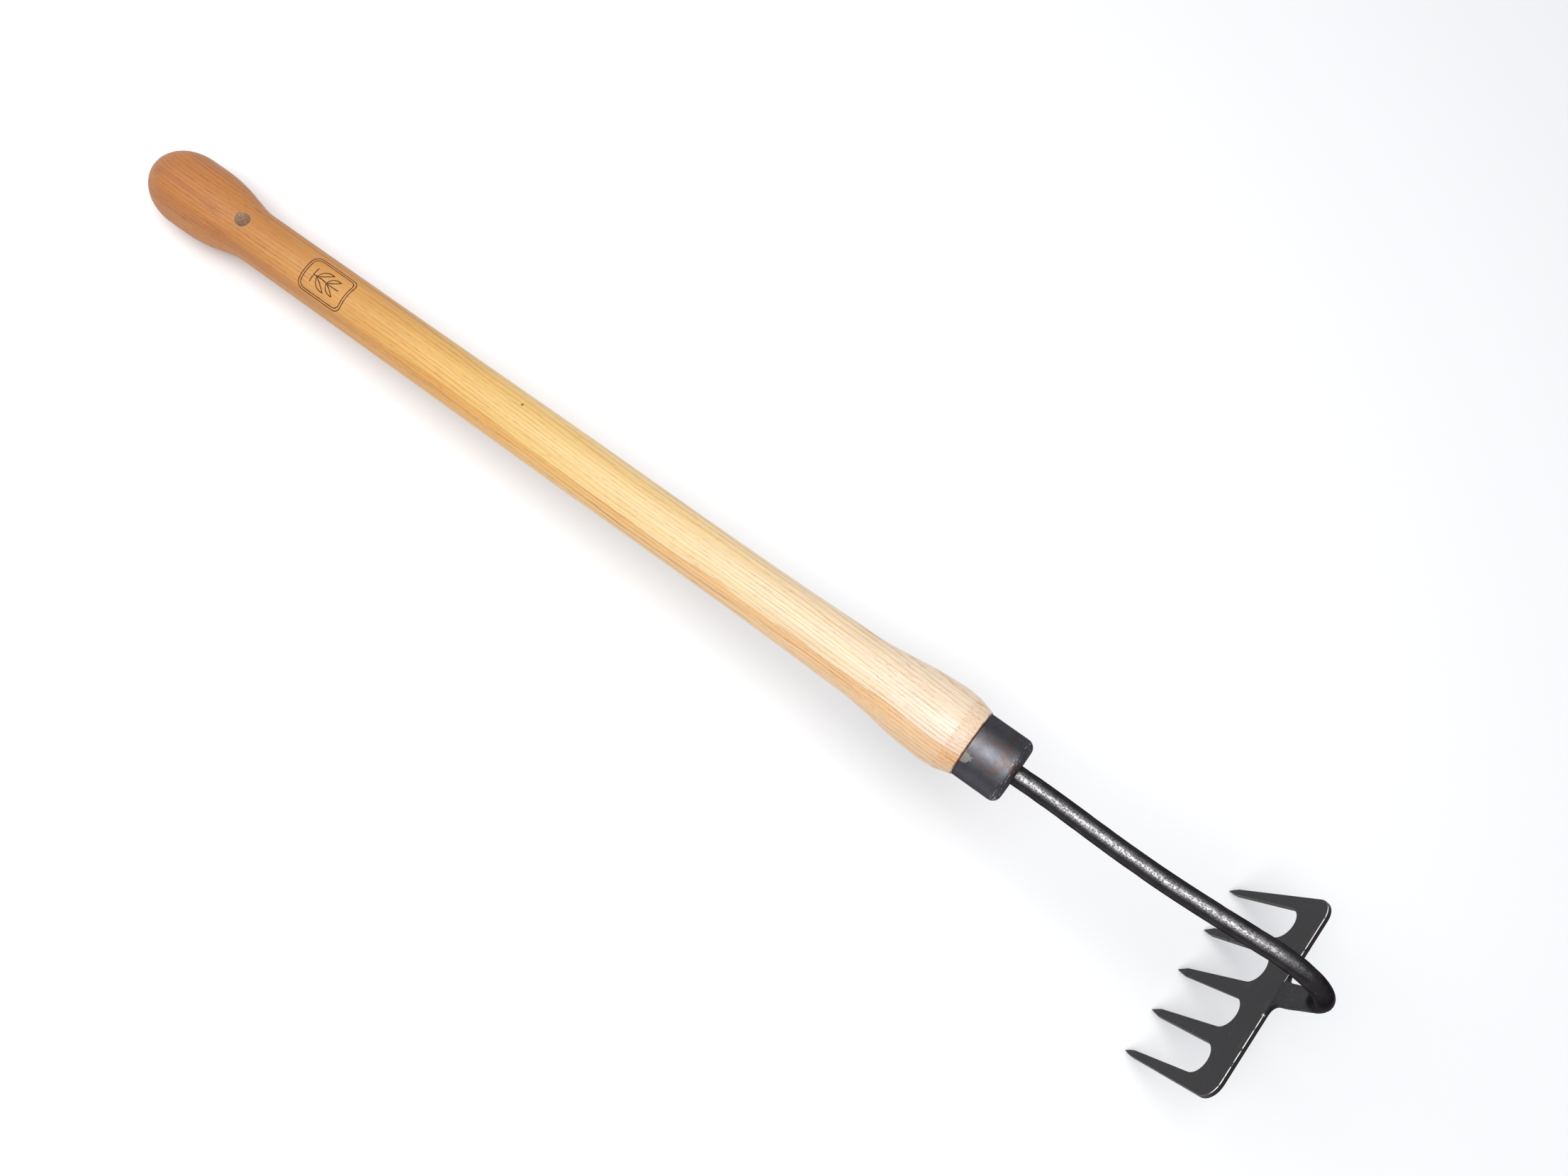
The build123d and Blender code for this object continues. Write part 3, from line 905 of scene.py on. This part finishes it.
def fillet_verts(edge, side):
    """Curved corner of weld metal: four points on its crown and two inside the joint per ring."""
    high = PLATE_THICKNESS - FILLET_SINK
    crown = [(FILLET_ROUND, FILLET_SINK), (0.0, FILLET_ROUND)]
    crown += [(0.0, PLATE_THICKNESS - FILLET_ROUND), (FILLET_ROUND, high)]
    verts = []
    for i in range(FILLET_RINGS):
        a = i / (FILLET_RINGS - 1) * math.pi / 2
        across = edge + side * WELD_LEG * (1 - math.sin(a))
        height = WELD_LEG * (1 - math.cos(a))
        uneven = 0.12 * ripple((across, height, 0), 1.6, 9)
        for back, out in crown:
            verts.append(plate_point(across - side * back * 0.5, -height + back * 0.5 + uneven, out))
        for out in (high, FILLET_SINK):
            verts.append(plate_point(edge - side * 1.5, 0.1 - height * 0.9, out))
    return verts


def bead_verts():
    """Uneven round bead of bright metal on the back edge."""
    verts = []
    for i in range(BEAD_RINGS):
        latitude = math.pi * (i + 0.5) / BEAD_RINGS
        across = BEAD_ACROSS + BEAD_RADIUS * 1.25 * math.cos(latitude)
        for k, a in enumerate(turn_angles(BEAD_SEGMENTS)):
            r = BEAD_RADIUS * (1 + 0.14 * ripple((i, k, 0), 2.5, 7)) * math.sin(latitude)
            verts.append(plate_point(across, BEAD_DEPTH + r * math.cos(a), BEAD_OUT + r * math.sin(a)))
    return verts


def make_weld():
    """Two ground fillets beside the tongue, and the small bead left at one of them."""
    middle = PLATE_REACH * math.sin(ROD_SKEW) - PLATE_OFFSET
    verts = []
    faces = []
    for side in (-1, 1):
        faces += tube_faces(FILLET_RINGS, FILLET_SEGMENTS, len(verts))
        verts += fillet_verts(middle + side * FILLET_FOOT, side)
    bead_start = len(faces)
    faces += tube_faces(BEAD_RINGS, BEAD_SEGMENTS, len(verts))
    verts += bead_verts()
    weld = add_piece("neck_weld_fillets", verts, faces, [weld_face, bare], 50)
    for face in weld.data.polygons[bead_start:]:
        face.material_index = 1
    return weld


# ------------------------------------------------------------------ burned mark
MARK_STATION = -393.0
MARK_LENGTH = 28.0
MARK_WIDTH = 20.0
MARK_TURN = math.radians(-8)
MARK_CORNER = 4.0
CORNER_STEPS = 6
LEAF_STEPS = 10
STROKE = 0.55
STROKE_POINT_GAP = 0.5


def rounded_frame(inset):
    """A closed rounded rectangle, smaller than the mark's outline by the inset."""
    corner = MARK_CORNER - inset * 0.6
    centre_u = MARK_LENGTH / 2 - inset - corner
    centre_v = MARK_WIDTH / 2 - inset - corner
    line = []
    for quadrant, (su, sv) in enumerate(((1, 1), (-1, 1), (-1, -1), (1, -1))):
        for step in range(CORNER_STEPS + 1):
            a = quadrant * math.pi / 2 + step / CORNER_STEPS * math.pi / 2
            line.append((su * centre_u + corner * math.cos(a), sv * centre_v + corner * math.sin(a)))
    return line + [line[0]]


def mark_strokes():
    """A plain sprout in a double rounded frame, as strokes of (along, across) points."""
    strokes = [rounded_frame(0.0), rounded_frame(1.3)]
    strokes.append([(-8.0, 0.0), (-3.0, 0.25), (2.0, -0.2), (8.6, 0.0)])
    for side in (-1, 1):
        for start, reach, spread in ((-6.0, 7.5, 5.4), (0.5, 6.5, 4.4)):
            for bulge in (0.75, -0.15):
                leaf = []
                for step in range(LEAF_STEPS + 1):
                    t = step / LEAF_STEPS
                    along = start + reach * t - bulge * 1.2 * math.sin(math.pi * t)
                    across = side * spread * (t + bulge * 0.42 * math.sin(math.pi * t))
                    leaf.append((along, across))
                strokes.append(leaf)
    strokes.append([(-8.0, -4.2), (-8.0, 4.2)])
    return strokes


def dense(stroke):
    """The stroke's points with more between them, so that it follows the round shaft."""
    points = []
    for (u0, v0), (u1, v1) in zip(stroke[:-1], stroke[1:]):
        count = max(1, round(math.hypot(u1 - u0, v1 - v0) / STROKE_POINT_GAP))
        points += [(u0 + (u1 - u0) * i / count, v0 + (v1 - v0) * i / count) for i in range(count)]
    return points + [stroke[-1]]


def make_mark():
    """Burned lines as shallow strips that stand in the wood and just show above it."""
    section = ((-1, -0.15), (-1, 0.02), (0, 0.035), (1, 0.02), (1, -0.15))
    verts = []
    faces = []
    for stroke in mark_strokes():
        points = dense(stroke)
        faces += tube_faces(len(points), len(section), len(verts))
        for i, (u, v) in enumerate(points):
            before = points[max(i - 1, 0)]
            after = points[min(i + 1, len(points) - 1)]
            du, dv = after[0] - before[0], after[1] - before[1]
            length = math.hypot(du, dv) or 1
            half_width = STROKE * (1 + 0.25 * ripple((u, v, 0), 2.0, 4)) / 2
            for side, lift in section:
                x = MARK_STATION + u - dv / length * half_width * side
                r = handle_radius(x)
                a = MARK_TURN + (v + du / length * half_width * side) / r
                verts.append((x, (r + lift) * math.sin(a), (r + lift) * math.cos(a)))
    return add_piece("burned_mark", verts, faces, [burned], 60)


# ------------------------------------------------------------------ pieces on the frame
PIECES = [
    (make_handle, "handle", "oiled_ash"),
    (make_ferrule, "ferrule", "blued_steel"),
    (make_neck, "neck_rod", "forged_steel"),
    (make_plate, "rake_plate", "plate_steel"),
    (make_weld, "neck_weld", "weld_steel"),
    (make_mark, None, "oiled_ash"),
]
for maker, node, slot in PIECES:
    piece = maker()
    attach(piece, "root")
    if node:
        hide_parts(node)


# ------------------------------------------------------------------ floor, light, camera
FLOOR_HALF = 8
KEY_PLACE = (160, -210, 1400)
KEY_SIZE = 0.9
KEY_POWER = 16
FILL_PLACE = (-800, -150, 1100)
FILL_SIZE = 1.2
FILL_POWER = 5
SKY_COLOUR = (0.93, 0.95, 1.0, 1)
SKY_STRENGTH = 0.48
CAMERA_PLACE = (35.05, -162.06, 685.96)
CAMERA_RIGHT = (0.79984, 0.59970, -0.02451)
CAMERA_UP = (-0.56354, 0.76441, 0.31320)


def make_floor():
    """Pale matte floor under the tool."""
    s = Shader("pale_floor")
    mesh = bpy.data.meshes.new("floor")
    corners = [(FLOOR_HALF * x, FLOOR_HALF * y, 0) for x, y in ((-1, -1), (1, -1), (1, 1), (-1, 1))]
    mesh.from_pydata(corners, [], [(0, 1, 2, 3)])
    floor = bpy.data.objects.new("floor", mesh)
    bpy.context.scene.collection.objects.link(floor)
    mesh.materials.append(s.finish((0.92, 0.92, 0.92, 1), 0.9, Specular_IOR_Level=0.0))


def add_softbox(name, place, aim, size, power):
    """Square area light that faces a point."""
    lamp = bpy.data.lights.new(name, "AREA")
    lamp.size = size
    lamp.energy = power
    box = bpy.data.objects.new(name, lamp)
    bpy.context.scene.collection.objects.link(box)
    box.location = place
    box.rotation_euler = (aim - place).to_track_quat("-Z", "Y").to_euler()


def add_camera():
    """Camera above the tool, set in the tool's own axes."""
    data = bpy.data.cameras.new("camera")
    data.sensor_width = 36
    data.lens = 35
    data.clip_start = 0.01
    camera = bpy.data.objects.new("camera", data)
    bpy.context.scene.collection.objects.link(camera)
    turn = TOOL.to_3x3()
    right = turn @ Vector(CAMERA_RIGHT)
    up = turn @ Vector(CAMERA_UP)
    axes = Matrix((right, up, right.cross(up))).transposed()
    camera.matrix_world = Matrix.Translation(placed(*CAMERA_PLACE)) @ axes.to_4x4()
    bpy.context.scene.camera = camera


make_floor()
middle = placed(-60, 0, 0)
add_softbox("key", placed(*KEY_PLACE), middle, KEY_SIZE, KEY_POWER)
add_softbox("fill", placed(*FILL_PLACE), middle, FILL_SIZE, FILL_POWER)
world = bpy.data.worlds.new("studio")
bpy.context.scene.world = world
world.use_nodes = True
sky = world.node_tree.nodes["Background"]
sky.inputs["Color"].default_value = SKY_COLOUR
sky.inputs["Strength"].default_value = SKY_STRENGTH
bpy.context.scene.view_settings.view_transform = "Standard"
add_camera()
